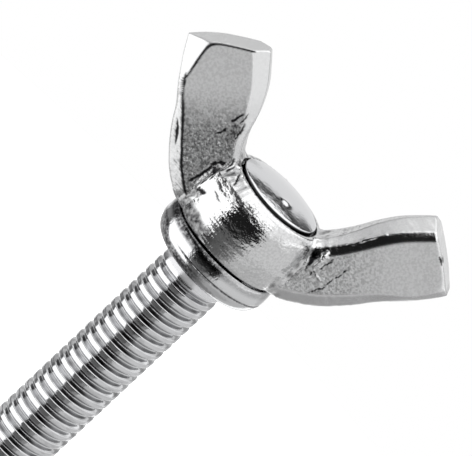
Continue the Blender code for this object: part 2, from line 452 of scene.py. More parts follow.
def ellipse_gap(across, up, radius_across, radius_up):
    """Distance from an ellipse about the origin, negative inside, true near its edge."""
    size = np.hypot(across / radius_across, up / radius_up)
    slope = np.hypot(across / radius_across**2, up / radius_up**2)
    return size * (size - 1) / np.maximum(slope, TINY)


def curve_through(points):
    """A smooth curve through the points, run on straight past both ends."""
    points = np.array(points)
    padded = np.vstack((2 * points[0] - points[1], points, 2 * points[-1] - points[-2]))
    curve = []
    for before, start, end, after in zip(padded, padded[1:], padded[2:], padded[3:]):
        for t in np.arange(CURVE_STEPS) / CURVE_STEPS:
            bend = 2 * before - 5 * start + 4 * end - after
            twist = 3 * (start - end) + after - before
            curve.append(start + 0.5 * t * (end - before + t * (bend + t * twist)))
    curve.append(points[-1])
    first = points[0] + (points[0] - points[1]) / np.linalg.norm(points[0] - points[1]) * RUN_ON
    last = points[-1] + (points[-1] - points[-2]) / np.linalg.norm(points[-1] - points[-2]) * RUN_ON
    return np.vstack((first, curve, last))


class EdgeDistance:
    """Distance from a curve in a wing's plane, positive on the curve's left."""

    def __init__(self, curve):
        x, z = np.meshgrid(*(np.arange(0.0, size, GRID_STEP) for size in GRID_SIZE), indexing="ij")
        nearest = np.full(x.shape, np.inf)
        self.grid = np.zeros(x.shape)
        for start, end in zip(curve, curve[1:]):
            run = end - start
            share = np.clip(((x - start[0]) * run[0] + (z - start[1]) * run[1]) / (run @ run), 0, 1)
            dx = x - start[0] - share * run[0]
            dz = z - start[1] - share * run[1]
            gap = np.hypot(dx, dz)
            closer = gap < nearest
            nearest = np.minimum(nearest, gap)
            self.grid = np.where(closer, np.copysign(gap, run[0] * dz - run[1] * dx), self.grid)

    def __call__(self, x, z):
        columns = np.clip(x / GRID_STEP, 0, self.grid.shape[0] - GRID_MARGIN)
        rows = np.clip(z / GRID_STEP, 0, self.grid.shape[1] - GRID_MARGIN)
        i = columns.astype(int)
        j = rows.astype(int)
        s = columns - i
        t = rows - j
        near = self.grid[i, j] * (1 - t) + self.grid[i, j + 1] * t
        far = self.grid[i + 1, j] * (1 - t) + self.grid[i + 1, j + 1] * t
        return near * (1 - s) + far * s


# ---------------------------------------------------------------- the wing head's shape


def tip_curve():
    """The end of a wing, from its outer corner to its inner one, slightly bowed out."""
    start = np.array(OUTER_EDGE[-1])
    end = np.array(INNER_EDGE[0])
    run = end - start
    outward = np.array((-run[1], run[0])) / -np.linalg.norm(run)
    return [start + run * t + outward * TIP_BULGE * math.sin(math.pi * t) for t in TIP_SHARES]


def wing_face(out, z):
    """Half the thickness over the flat face, and how far out along the wing a point is."""
    reach = (out + z) / math.sqrt(2)
    return FACE_HALF - FACE_TAPER * (reach - FACE_START), reach


def edge_gaps(out, z, side, edges):
    """Distance inwards from a wing's outer edge, its tip and its inner edge."""
    outer, tip, inner = edges
    shift = INNER_SHIFT * smooth_step(*INNER_SHIFT_HEIGHTS, z) * side
    return outer(out, z), tip(out, z), inner(out - shift, z)


def by_side(side, values):
    """The value for the wing that each point is on."""
    return np.where(side > 0, values[1], values[-1])


def wing_bevels(out, z, side, gaps):
    """Half the thickness that the edge bevels, the inner bevel and the gentle roll-off leave."""
    outer, tip, inner = gaps
    face, reach = wing_face(out, z)
    outer_width, inner_width = (
        by_side(side, {s: np.interp(reach, BEVEL_REACHES, widths[s]) for s in (-1, 1)})
        for widths in (OUTER_WIDTHS, INNER_WIDTHS)
    )
    roll = by_side(side, {-1: NO_ROLL, 1: ROLL_SLOPE * (inner_width + ROLL_WIDTH - inner)})
    rolled_off = by_side(side, {-1: 0.0, 1: ROLL_SLOPE * ROLL_WIDTH})
    return (
        face - np.interp(reach, BEVEL_REACHES, OUTER_SLOPES) * (outer_width - outer),
        face - TIP_SLOPE * (TIP_WIDTH - tip),
        face - by_side(side, INNER_SLOPES) * (inner_width - inner) - rolled_off,
        face - roll,
    )


def wing_field(out, y, z, side, edges):
    """Distance from a wing's surface, where out is the distance from the middle along X."""
    gaps = edge_gaps(out, z, side, edges)
    face, _ = wing_face(out, z)
    outer_limit, tip_limit, *others = wing_bevels(out, z, side, gaps)
    half = face
    for limit in (smooth_min(outer_limit, tip_limit, CORNER_ROUND), *others):
        half = smooth_min(half, limit, FACE_ROUND)
    outer, tip, inner = gaps
    outline = smooth_min(smooth_min(outer, tip, EDGE_ROUND), inner, EDGE_ROUND)
    return smooth_max(np.abs(y) - half, -outline, EDGE_ROUND)


def hub_field(rho, z, foot_z):
    """Distance from the hub's surface, where rho is the distance from its axis."""
    across = np.maximum(rho - HUB_RIM_R, 0.0)
    shoulder = ellipse_gap(across, z - HUB_WIDEST_Z, HUB_R - HUB_RIM_R, HUB_RIM_Z - HUB_WIDEST_Z)
    across = np.maximum(rho - HUB_FOOT_R, 0.0)
    foot = ellipse_gap(across, HUB_WIDEST_Z - z, HUB_R - HUB_FOOT_R, HUB_WIDEST_Z - foot_z)
    return np.where(z > HUB_WIDEST_Z, shoulder, foot)


def wing_head_field(points, edges, foot_z):
    """Distance from the wing head's surface, negative inside the metal."""
    y = points[:, 1]
    z = points[:, 2]
    x = points[:, 0] - LEAN * (z - foot_z)
    rho = np.hypot(x, y)
    wing = wing_field(np.abs(x), y, z, np.sign(x), edges)
    body = smooth_min(hub_field(rho, z, foot_z), wing, ROOT_FILLET)
    body = smooth_max(body, foot_z - z, EDGE_ROUND)
    recess = np.maximum(rho - COUNTERBORE_R, COUNTERBORE_Z - z)
    body = smooth_max(body, -recess, RIM_ROUND)
    return np.maximum(body, BORE_R - np.hypot(points[:, 0], y))


def gradient(field, points):
    """The field's slope along x, y and z at each point."""
    slopes = []
    for axis in np.eye(3) * PROBE:
        slopes.append((field(points + axis) - field(points - axis)) / (2 * PROBE))
    return np.stack(slopes, axis=1)


def project(field, points, steps):
    """Moves points onto the field's zero surface."""
    for _ in range(steps):
        slope = gradient(field, points)
        step = field(points) / np.maximum((slope**2).sum(axis=1), LEAST_SLOPE)
        points = points - np.clip(step, -LONGEST_STEP, LONGEST_STEP)[:, None] * slope
    return points


# ---------------------------------------------------------------- mesh helpers


def node_box(name):
    """Lowest and highest corner that a piece may reach in a CAD node's box, in millimetres."""
    low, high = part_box(name)
    return np.array(low) / MM + INSET, np.array(high) / MM - INSET


def mesh_points(mesh):
    flat = np.empty(len(mesh.vertices) * 3)
    mesh.vertices.foreach_get("co", flat)
    return flat.reshape(-1, 3)


def set_mesh_points(mesh, points):
    mesh.vertices.foreach_set("co", points.ravel())
    mesh.update()


def voxel_copy(node):
    """The CAD node's mesh in millimetres, rebuilt from small even squares."""
    mesh = node.data.copy()
    mesh.transform(Matrix.Scale(1 / MM, 4))
    rough = bpy.data.objects.new("rough", mesh)
    bpy.context.scene.collection.objects.link(rough)
    remesh = rough.modifiers.new("voxels", "REMESH")
    remesh.mode = "VOXEL"
    remesh.voxel_size = VOXEL
    graph = bpy.context.evaluated_depsgraph_get()
    fine = bpy.data.meshes.new_from_object(rough.evaluated_get(graph))
    bpy.data.objects.remove(rough)
    bpy.data.meshes.remove(mesh)
    return fine


def relax(mesh, points):
    """Each point moved half way to the middle of its neighbours."""
    edges = np.empty(len(mesh.edges) * 2, dtype=int)
    mesh.edges.foreach_get("vertices", edges)
    edges = edges.reshape(-1, 2)
    total = np.zeros_like(points)
    count = np.zeros(len(points))
    for near, far in ((0, 1), (1, 0)):
        np.add.at(total, edges[:, near], points[edges[:, far]])
        np.add.at(count, edges[:, near], 1)
    return (points + total / count[:, None]) / 2


def set_attribute(mesh, name, values):
    attribute = mesh.attributes.new(name, "FLOAT", "POINT")
    attribute.data.foreach_set("value", values.astype(np.float32))


def new_piece(name, mesh, node, material):
    """A finished piece that rides on the screw's body and stands for one CAD node."""
    mesh.transform(Matrix.Scale(MM, 4))
    mesh.shade_smooth()
    mesh.materials.clear()
    mesh.materials.append(material)
    piece = bpy.data.objects.new(name, mesh)
    bpy.context.scene.collection.objects.link(piece)
    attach(piece, "root")
    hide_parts(node)


def grid_mesh(points):
    """Faces between rows of points, each row running once round to its start."""
    bm = bmesh.new()
    verts = [[bm.verts.new(point) for point in row] for row in points]
    for lower, upper in zip(verts, verts[1:]):
        for i in range(len(lower) - 1):
            bm.faces.new((lower[i], lower[i + 1], upper[i + 1], upper[i]))
    return bm


def close_and_save(bm, name):
    """Welds coincident points, drops what has collapsed and turns the faces outwards."""
    bmesh.ops.remove_doubles(bm, verts=bm.verts, dist=WELD)
    bmesh.ops.dissolve_degenerate(bm, edges=bm.edges, dist=SLIVER)
    bmesh.ops.recalc_face_normals(bm, faces=bm.faces)
    mesh = bpy.data.meshes.new(name)
    bm.to_mesh(mesh)
    bm.free()
    return mesh


# ---------------------------------------------------------------- materials


def link_or_set(tree, socket, value):
    if isinstance(value, bpy.types.NodeSocket):
        tree.links.new(value, socket)
    else:
        socket.default_value = value


def maths(tree, operation, *values):
    node = tree.nodes.new("ShaderNodeMath")
    node.operation = operation
    for socket, value in zip(node.inputs, values):
        link_or_set(tree, socket, value)
    return node.outputs[0]


def ramp(tree, value, low, high, out_low=0.0, out_high=1.0):
    """Runs smoothly from one value to another as the input goes from low to high."""
    node = tree.nodes.new("ShaderNodeMapRange")
    node.interpolation_type = "SMOOTHSTEP"
    for name, setting in (
        ("Value", value),
        ("From Min", low),
        ("From Max", high),
        ("To Min", out_low),
        ("To Max", out_high),
    ):
        link_or_set(tree, node.inputs[name], setting)
    return node.outputs["Result"]


def noise_value(tree, wavelength, detail=3.0, stretch=(1, 1, 1)):
    """Noise over the object, with this wavelength in millimetres."""
    coordinates = tree.nodes.new("ShaderNodeTexCoord")
    mapping = tree.nodes.new("ShaderNodeMapping")
    mapping.inputs["Scale"].default_value = [1 / (wavelength * MM * s) for s in stretch]
    tree.links.new(coordinates.outputs["Object"], mapping.inputs["Vector"])
    texture = tree.nodes.new("ShaderNodeTexNoise")
    texture.inputs["Scale"].default_value = 1.0
    texture.inputs["Detail"].default_value = detail
    tree.links.new(mapping.outputs["Vector"], texture.inputs["Vector"])
    return texture.outputs["Fac"]


def attribute_value(tree, name):
    node = tree.nodes.new("ShaderNodeAttribute")
    node.attribute_name = name
    return node.outputs["Fac"]


def bump(tree, height, distance, previous=None):
    """A bump of this depth in millimetres, on top of an earlier one."""
    node = tree.nodes.new("ShaderNodeBump")
    node.inputs["Strength"].default_value = 1.0
    node.inputs["Distance"].default_value = distance * MM
    tree.links.new(height, node.inputs["Height"])
    if previous is not None:
        tree.links.new(previous, node.inputs["Normal"])
    return node.outputs["Normal"]


def sideways(tree, normal, amount):
    """Turns the normal about the screw's axis by an amount that varies over the surface."""
    across = tree.nodes.new("ShaderNodeVectorMath")
    across.operation = "CROSS_PRODUCT"
    tree.links.new(tree.nodes.new("ShaderNodeNewGeometry").outputs["Normal"], across.inputs[0])
    across.inputs[1].default_value = (0, 0, 1)
    shift = tree.nodes.new("ShaderNodeVectorMath")
    shift.operation = "MULTIPLY_ADD"
    tree.links.new(across.outputs["Vector"], shift.inputs[0])
    tree.links.new(amount, shift.inputs[1])
    tree.links.new(normal, shift.inputs[2])
    unit = tree.nodes.new("ShaderNodeVectorMath")
    unit.operation = "NORMALIZE"
    tree.links.new(shift.outputs["Vector"], unit.inputs[0])
    return unit.outputs["Vector"]


def new_material(name, colour):
    material = bpy.data.materials.new(name)
    material.use_nodes = True
    shader = material.node_tree.nodes["Principled BSDF"]
    shader.inputs["Base Color"].default_value = (*colour, 1.0)
    shader.inputs["Metallic"].default_value = 1.0
    return material, material.node_tree, shader


def mix_colour(tree, share, bare, darkened):
    node = tree.nodes.new("ShaderNodeMix")
    node.data_type = "RGBA"
    tree.links.new(share, node.inputs["Factor"])
    node.inputs["A"].default_value = (*bare, 1.0)
    node.inputs["B"].default_value = (*darkened, 1.0)
    return node.outputs["Result"]


def forged_steel():
    """Plated steel with a rippled, glossy hub and satin faces, grainy and dusty low down."""
    material, tree, shader = new_material("forged_plated_steel", FORGED_BARE)
    satin = attribute_value(tree, "satin")
    painted_shade_and_dark_marks = attribute_value(tree, "painted_shade_and_dark_marks")
    grain = attribute_value(tree, "grain")
    fine = noise_value(tree, FORGED_WAVELENGTH)
    roughness = maths(tree, "MULTIPLY_ADD", satin, FORGED_SATIN_ROUGHNESS, FORGED_ROUGHNESS)
    roughness = maths(tree, "MULTIPLY_ADD", fine, FORGED_ROUGHNESS_NOISE, roughness)
    tree.links.new(roughness, shader.inputs["Roughness"])
    metallic = maths(tree, "MULTIPLY_ADD", satin, -FORGED_SATIN_DULLING, 1.0)
    tree.links.new(metallic, shader.inputs["Metallic"])

    pits = ramp(tree, noise_value(tree, DUST_WAVELENGTH, DUST_DETAIL), *DUST_NOISE)
    dust = maths(tree, "MULTIPLY", pits, maths(tree, "MULTIPLY_ADD", grain, GRAIN_DUST, DUST))
    dust = maths(tree, "MULTIPLY_ADD", satin, SATIN_DUST, dust)
    # Painted shade, two darker patches and dust darken the colour towards near black.
    dark = maths(tree, "MINIMUM", maths(tree, "ADD", painted_shade_and_dark_marks, dust), 1.0)
    tree.links.new(mix_colour(tree, dark, FORGED_BARE, FORGED_SHADE_AND_DUST), shader.inputs["Base Color"])

    gloss = maths(tree, "SUBTRACT", 1.0, satin)
    wavelength, depth = HUB_WAVES
    waves = noise_value(tree, wavelength, stretch=HUB_WAVE_STRETCH)
    normal = bump(tree, maths(tree, "MULTIPLY", waves, gloss), depth)
    for wavelength, depth in GRAIN_BUMPS:
        grains = maths(tree, "MULTIPLY", noise_value(tree, wavelength, FINE_DETAIL), grain)
        normal = bump(tree, grains, depth, normal)
    wavelength, depth = FORGED_BUMPS
    normal = bump(tree, noise_value(tree, wavelength, FINE_DETAIL), depth, normal)
    streaks = noise_value(tree, STREAK_WAVELENGTH, stretch=STREAK_STRETCH)
    streaks = maths(tree, "MULTIPLY", maths(tree, "SUBTRACT", streaks, 0.5), STREAK_STRENGTH)
    normal = sideways(tree, normal, maths(tree, "MULTIPLY", streaks, gloss))
    tree.links.new(normal, shader.inputs["Normal"])
    return material


def turned_steel():
    """Plated steel of the collar, with speckled painted shade."""
    material, tree, shader = new_material("turned_plated_steel", TURNED_BARE)
    speckle = ramp(tree, noise_value(tree, SPECK_WAVELENGTH), *SPECK_NOISE, SPECK_LEAST, 1.0)
    speckled_shade = maths(tree, "MULTIPLY", attribute_value(tree, "painted_shade_and_dark_marks"), speckle)
    tree.links.new(mix_colour(tree, speckled_shade, TURNED_BARE, TURNED_PAINTED_SHADE), shader.inputs["Base Color"])
    fine = noise_value(tree, PLAIN_WAVELENGTH)
    roughness = maths(tree, "MULTIPLY_ADD", fine, TURNED_ROUGHNESS_NOISE, TURNED_ROUGHNESS)
    tree.links.new(roughness, shader.inputs["Roughness"])
    wavelength, depth = TURNED_BUMPS
    normal = bump(tree, noise_value(tree, wavelength), depth)
    tree.links.new(normal, shader.inputs["Normal"])
    return material


def rolled_steel():
    """Plated steel of the stud, with a satin neck and a grainy dome."""
    material, tree, shader = new_material("rolled_plated_steel", ROLLED_BARE)
    painted_shade_and_dark_marks = attribute_value(tree, "painted_shade_and_dark_marks")
    # Painted shade round the head's rim and on the thread's flanks and roots darkens the colour.
    tree.links.new(mix_colour(tree, painted_shade_and_dark_marks, ROLLED_BARE, ROLLED_PAINTED_SHADE), shader.inputs["Base Color"])
    fine = noise_value(tree, PLAIN_WAVELENGTH)
    satin = attribute_value(tree, "satin")
    roughness = maths(tree, "MULTIPLY_ADD", fine, ROLLED_ROUGHNESS_NOISE, ROLLED_ROUGHNESS)
    roughness = maths(tree, "MULTIPLY_ADD", satin, ROLLED_SATIN_ROUGHNESS, roughness)
    tree.links.new(roughness, shader.inputs["Roughness"])
    metallic = maths(tree, "MULTIPLY_ADD", satin, -ROLLED_SATIN_DULLING, 1.0)
    tree.links.new(metallic, shader.inputs["Metallic"])
    wavelength, depth = ROLLED_BUMPS
    normal = bump(tree, noise_value(tree, wavelength), depth)
    wavelength, depth = DOME_BUMPS
    grains = maths(tree, "MULTIPLY", noise_value(tree, wavelength), attribute_value(tree, "grain"))
    normal = bump(tree, grains, depth, normal)
    tree.links.new(normal, shader.inputs["Normal"])
    return material


# ---------------------------------------------------------------- pieces


def noise_at(points, lengths, seed):
    """Smooth noise between about -1 and 1, with a wavelength along each axis."""
    places = points / np.array(lengths) + seed
    return np.array([noise.noise(place) for place in places])


def fold_depths(points):
    """Depth of the folds at each point, how much painted shade darkens them, and where ridges shine."""
    x = points[:, 0] + FOLD_WOBBLE * noise_at(points, *FOLD_WOBBLE_X)
    z = points[:, 2] + FOLD_WOBBLE * noise_at(points, *FOLD_WOBBLE_Z)
    depth = np.zeros(len(points))
    fold_shade = np.zeros(len(points))
    shine = np.zeros(len(points))
    for start_x, start_z, end_x, end_z, half_width, deep in FOLDS:
        run_x = end_x - start_x
        run_z = end_z - start_z
        share = np.clip(((x - start_x) * run_x + (z - start_z) * run_z) / (run_x**2 + run_z**2), 0, 1)
        gap = np.hypot(x - start_x - share * run_x, z - start_z - share * run_z) / half_width
        along = FOLD_END_SHARE + (1 - FOLD_END_SHARE) * np.sin(math.pi * share)
        shape = np.exp(-(gap**2)) * along
        depth += deep * shape
        marked = smooth_step(*FOLD_SHADE, shape)
        fold_shade = np.maximum(fold_shade, marked * (deep > 0))
        shine = np.maximum(shine, marked * (deep < 0))
    front = smooth_step(*FOLD_FRONT, -points[:, 1])
    return depth * front, fold_shade * front, shine * front


class ForgingPlaces:
    """Where each point lies: round the hub, along and across its wing, and in which zones."""

    def __init__(self, points, foot_z, edges):
        self.y = points[:, 1]
        self.z = points[:, 2]
        self.x = points[:, 0] - LEAN * (self.z - foot_z)
        self.side = np.sign(self.x)
        angle = np.arctan2(self.x, -self.y)
        self.turn = np.degrees(angle)
        rho = np.hypot(self.x, self.y)
        self.round_hub = np.stack((angle * HUB_R, rho, self.z), axis=1)

        out = np.abs(self.x)
        wing = wing_field(out, self.y, self.z, self.side, edges)
        clearance = hub_field(rho, self.z, foot_z) - wing
        self.on_wing = smooth_step(*WING_CLEARANCE, clearance)
        self.root = np.exp(-((clearance / ROOT_WIDTH) ** 2)) * smooth_step(*ROOT_FROM_X, out)

        self.face, self.reach = wing_face(out, self.z)
        self.low_half = smooth_step(*LOW_HALF, self.reach)
        gaps = edge_gaps(out, self.z, self.side, edges)
        self.inner_gap = gaps[2]
        limits = wing_bevels(out, self.z, self.side, gaps)
        self.outer_limit, tip_limit, inner_limit, roll_limit = limits
        self.corner_limit = smooth_min(self.outer_limit, tip_limit, CORNER_ROUND)
        lowest = np.minimum.reduce((self.corner_limit, inner_limit, roll_limit))
        flat = smooth_step(*FACE_INSET, lowest - self.face)
        self.on_face = flat * smooth_step(*FACE_SKIN, self.face - np.abs(self.y))
        below_face = smooth_step(*ROLL_BELOW_FACE, roll_limit - self.face)
        above_bevel = smooth_step(*ROLL_ABOVE_BEVEL, inner_limit - roll_limit)
        self.rolled = (self.side > 0) * below_face * above_bevel


def forging_marks(points, at):
    """What the forging left on each point, by name: noise, folds and swellings."""
    on_hub = 1 - at.on_wing
    wrinkled = smooth_step(*WRINKLE_HEIGHTS, at.z) * smooth_step(*WRINKLE_TURNS, at.turn)
    lobe = window(LOBE_ACROSS, at.x) * window(LOBE_HEIGHTS, at.z) * (at.y < 0)
    fold, fold_shade, shine = fold_depths(points)
    return {
        "ripple": noise_at(at.round_hub, *HUB_RIPPLE) * on_hub,
        "dents": noise_at(points, *DENTS),
        "creases": noise_at(points, *ROOT_CREASES) * at.root,
        "crumple": noise_at(points, *ROOT_CRUMPLE) * at.root,
        "grains": noise_at(points, *WING_GRAINS) * at.on_wing * at.low_half,
        "swell": window(SWELL_TURNS, at.turn) * window(SWELL_HEIGHTS, at.z) * on_hub,
        "wrinkles": noise_at(at.round_hub, *HUB_WRINKLES) * wrinkled * on_hub,
        "lobe": lobe,
        "bulge": lobe * window(BULGE_ACROSS, at.x),
        "fold": fold,
        "fold_shade": fold_shade,
        "shine": shine,
        "blotches": noise_at(points, *BLOTCHES),
        "crumbs": noise_at(points, *CRUMBS),
    }


def satin_values(at, marks):
    """How dull each point is: the wings' faces are, and rolled, bulging or ridged metal isn't."""
    wear = by_side(at.side, WEAR) * np.clip(at.low_half * (1 + WEAR_BLOTCHES * marks["blotches"]), 0, 1)
    satin = at.on_wing * (EDGE_SATIN + (1 - EDGE_SATIN) * at.on_face * (1 - wear))
    return satin * (1 - at.rolled) * (1 - marks["lobe"]) * (1 - marks["shine"])


def face_line(at):
    """A painted dark line, standing in for shade, where the -X wing's face meets its outer bevel and
    its tip.
    """
    width = np.interp(at.reach, LINE_REACHES, LINE_WIDTHS)
    boundary = np.exp(-(((at.corner_limit - at.face) / width) ** 2))
    start, full = LINE_DEPTHS
    near_face = smooth_step(at.face - start, at.face - full, np.abs(at.y))
    return LINE_SHADE * boundary * (at.side < 0) * at.on_wing * near_face


def forging_shade_and_marks(at, marks):
    """How dark each point is painted: shade on the face line, in folds, valleys and wrinkles, over the
    low half and the skirt, and two darker patches.
    """
    valley = VALLEY_SHADE * at.root * smooth_step(*VALLEY_DEPTHS, marks["creases"] + marks["crumple"])
    off_width = (at.inner_gap - PATCH_GAP) / PATCH_HALF_WIDTH
    off_length = (at.reach - PATCH_REACH) / PATCH_HALF_LENGTH
    patch = PATCH_DARKENING * np.exp(-(off_width**2) - off_length**2) * (at.side < 0)
    patch = patch * smooth_step(*PATCH_BREAKS, marks["blotches"] + marks["grains"])
    shade_and_bevel = WRINKLE_SHADE * smooth_step(*WRINKLE_DEPTHS, marks["wrinkles"])
    shade_and_bevel += LOW_HALF_SHADE * at.on_wing * at.low_half * (at.side < 0)
    on_bevel = smooth_step(*BEVEL_DEPTHS, at.face - at.outer_limit)
    shade_and_bevel += BEVEL_DARKENING * at.on_wing * (at.side > 0) * on_bevel
    ragged = SKIRT_BLOTCHES * marks["blotches"] + SKIRT_RIPPLE * marks["ripple"]
    skirt = smooth_step(*SKIRT_HEIGHTS, at.z + ragged) * window(SKIRT_TURNS, at.turn) * (1 - at.on_wing)
    skirt = skirt * (SKIRT_SHADE + SKIRT_CRUMBS * marks["crumbs"])
    return np.clip(np.maximum.reduce((face_line(at), marks["fold_shade"], valley, patch, shade_and_bevel, skirt)), 0, 1)


def grain_values(at):
    """How grainy each point is."""
    on_face = at.on_face * (FACE_GRAIN + by_side(at.side, LOW_GRAIN) * at.low_half)
    return at.on_wing * (on_face + ROLL_GRAIN * at.rolled) + HUB_GRAIN * (1 - at.on_wing)


def make_wing_head(node):
    """The forging, rebuilt from the CAD node's mesh and projected onto its rounded shape."""
    low, high = node_box("wing_head")
    foot_z = low[2]
    edges = [EdgeDistance(curve_through(points)) for points in (OUTER_EDGE, tip_curve(), INNER_EDGE)]

    def field(points):
        return wing_head_field(points, edges, foot_z)

    mesh = voxel_copy(node)
    points = project(field, mesh_points(mesh), PROJECT_STEPS)
    points = project(field, relax(mesh, points), PROJECT_STEPS)
    slope = gradient(field, points)
    normals = slope / np.maximum(np.linalg.norm(slope, axis=1), TINY)[:, None]
    at = ForgingPlaces(points, foot_z, edges)
    marks = forging_marks(points, at)
    proud = sum(height * marks[name] for name, height in MARK_HEIGHTS.items())
    set_mesh_points(mesh, np.clip(points + normals * proud[:, None], low, high))
    set_attribute(mesh, "satin", satin_values(at, marks))
    set_attribute(mesh, "painted_shade_and_dark_marks", forging_shade_and_marks(at, marks))
    set_attribute(mesh, "grain", grain_values(at))
    new_piece("wing_head_forging", mesh, "wing_head", forged_steel())


def thread_radius(phase):
    """Radius of the thread at this share of a pitch above a crest's middle."""
    off_crest = np.abs(phase - np.round(phase)) * PITCH
    flank = THREAD_R + (CREST_HALF - off_crest) * math.tan(math.radians(FLANK_ANGLE))
    crested = smooth_min(flank, np.full_like(flank, THREAD_R), THREAD_ROUND)
    return smooth_max(crested, np.full_like(flank, ROOT_R), THREAD_ROUND)


def threaded_rows(tip_z):
    """The thread and the neck, as rows that climb along the helix between two level ends."""
    pitches = math.ceil(-tip_z / PITCH) + 2
    rows = np.arange(pitches * ROWS_PER_PITCH + 1)[:, None] / ROWS_PER_PITCH * PITCH
    turn = np.arange(COLUMNS + 1)[None, :] / COLUMNS
    z = np.clip(tip_z - PITCH + rows + turn * PITCH, tip_z, 0.0)
    phase = (z - THREAD_PHASE) / PITCH - turn
    grown = smooth_step(RUN_OUT_START, RUN_OUT_END, z)
    radius = NECK_R + (thread_radius(phase) - NECK_R) * grown
    radius = np.minimum(radius, THREAD_R - TIP_CHAMFER + (z - tip_z))
    angle = 2 * math.pi * turn
    return np.stack((radius * np.cos(angle), radius * np.sin(angle), z), axis=2)


def turned_rows(profile, columns):
    """Rings of points, one for each (radius, height) of a profile."""
    angle = np.arange(columns + 1) / columns * 2 * math.pi
    rings = [
        np.stack((radius * np.cos(angle), radius * np.sin(angle), np.full_like(angle, z)), axis=1)
        for radius, z in profile
    ]
    return np.array(rings)


def degrees_round(points):
    """Angle about the axis, from the front towards +X."""
    return np.degrees(np.arctan2(points[..., 0], -points[..., 1]))


def collar_groove(points):
    """1 in the middle of the collar's groove, which fades out on the left, and 0 away from it."""
    fade = smooth_step(*GROOVE_TURNS, degrees_round(points))
    outside = np.hypot(points[..., 0], points[..., 1]) > COLLAR_SEAT_R
    return fade * outside * np.exp(-(((points[..., 2] - GROOVE_Z) / GROOVE_HALF) ** 2))


def arc(centre, radii, start, end, steps):
    """Points on an ellipse's arc, angles in degrees from +X."""
    angles = np.radians(np.linspace(start, end, steps + 1))
    return [(centre[0] + radii[0] * math.cos(a), centre[1] + radii[1] * math.sin(a)) for a in angles]


def head_profile(top_z):
    """The stud's outline from the seat up, through the hub to the middle of the dome."""
    edge = HEAD_EDGE_ROUND
    side = HEAD_R - edge
    profile = [(NECK_R, 0.0), (SHANK_R, SHANK_START), (SHANK_R, HEAD_BOTTOM), (side, HEAD_BOTTOM)]
    profile += arc((side, HEAD_BOTTOM + edge), (edge, edge), -90, 0, HEAD_EDGE_STEPS)
    profile += arc((side, HEAD_EDGE_Z - edge), (edge, edge), 0, HEAD_EDGE_TURN, HEAD_EDGE_STEPS)
    dome_r, dome_z = profile[-1]
    sag = top_z - dome_z
    ball = (dome_r**2 + sag**2) / (2 * sag)
    spread = math.asin(dome_r / ball)
    for step in range(1, DOME_STEPS + 1):
        angle = spread * (1 - step / DOME_STEPS)
        profile.append((ball * math.sin(angle), top_z - ball * (1 - math.cos(angle))))
    return profile


def head_rings(top_z, foot_z):
    """Rings of points from the seat up, with the pip, leaning as the hub does inside it."""
    rings = turned_rows(head_profile(top_z), COLUMNS)
    from_pip = np.hypot(rings[..., 0] - PIP_PLACE[0], rings[..., 1] - PIP_PLACE[1]) / PIP_R
    pip = PIP_HEIGHT * np.exp(-(from_pip**2))
    rings[..., 2] += np.where(rings[..., 2] > HEAD_EDGE_Z, pip, 0.0)
    z = rings[..., 2]
    rings[..., 0] += np.where(z > HEAD_BOTTOM - HAIR, LEAN * (z - foot_z), 0.0)
    return rings


def stud_painted_shade(points, worn):
    """How dark the painted shade is round the head's rim, on the thread's flanks and in its roots."""
    z = points[:, 2]
    rim = smooth_step(*RIM_HEIGHTS, z) * (z > HEAD_BOTTOM - HAIR)
    rho = np.hypot(points[:, 0], points[:, 1])
    front = window(FRONT_TURNS, degrees_round(points))
    flank_shade_share = FLANK_SHADE + FLANK_SHADE_SPREAD * noise_at(points, *THREAD_SHADE_NOISE) + FRONT_SHADE * front
    flank = np.clip(flank_shade_share, 0, 1) * window(FLANK_RADII, rho)
    root = ROOT_SHADE * smooth_step(*ROOT_RADII, rho)
    return rim + np.maximum(flank, root) * worn


def make_stud():
    """The stud, turned from a finer profile than the CAD's, with a rolled thread."""
    low, high = node_box("threaded_stud")
    tip_z = low[2]
    foot_z = node_box("wing_head")[0][2]
    tip = turned_rows([(0.0, tip_z), (THREAD_R - TIP_CHAMFER, tip_z)], COLUMNS)
    rows = np.concatenate((tip, threaded_rows(tip_z), head_rings(high[2], foot_z)))
    mesh = close_and_save(grid_mesh(rows), "threaded_stud_fine")
    points = mesh_points(mesh)
    z = points[:, 2]
    worn = smooth_step(*WORN_FROM, z) * smooth_step(tip_z, tip_z + WORN_ABOVE_TIP, z)
    waver = THREAD_WAVER * worn * (1 + noise_at(points, *THREAD_WAVES))
    points[:, :2] *= (1 - waver)[:, None]
    set_mesh_points(mesh, points)
    set_attribute(mesh, "painted_shade_and_dark_marks", stud_painted_shade(points, worn))
    set_attribute(mesh, "satin", smooth_step(*NECK_HEIGHTS, z) * (z < NECK_TOP))
    set_attribute(mesh, "grain", smooth_step(*DOME_GRAIN_FROM_Y, points[:, 1]) * (z > HEAD_EDGE_Z))
    new_piece("stud_thread_and_dome", mesh, "threaded_stud", rolled_steel())


def collar_painted_shade(points, top):
    """How dark the painted shade is under the hub, low on the left and in the groove."""
    z = points[:, 2]
    around = degrees_round(points)
    upper = UPPER_SHADE + (1 - UPPER_SHADE) * window(UPPER_TURNS, around)
    upper = upper * smooth_step(*(top - depth for depth in UPPER_DEPTHS), z)
    raised = z - LOWER_RISE * smooth_step(*LOWER_RISE_TURNS, around)
    lower = smooth_step(*LOWER_TURNS, around) * smooth_step(*LOWER_HEIGHTS, raised)
    in_groove = np.minimum(GROOVE_SHADE * collar_groove(points), 1.0)
    return np.maximum.reduce((upper, lower, in_groove))


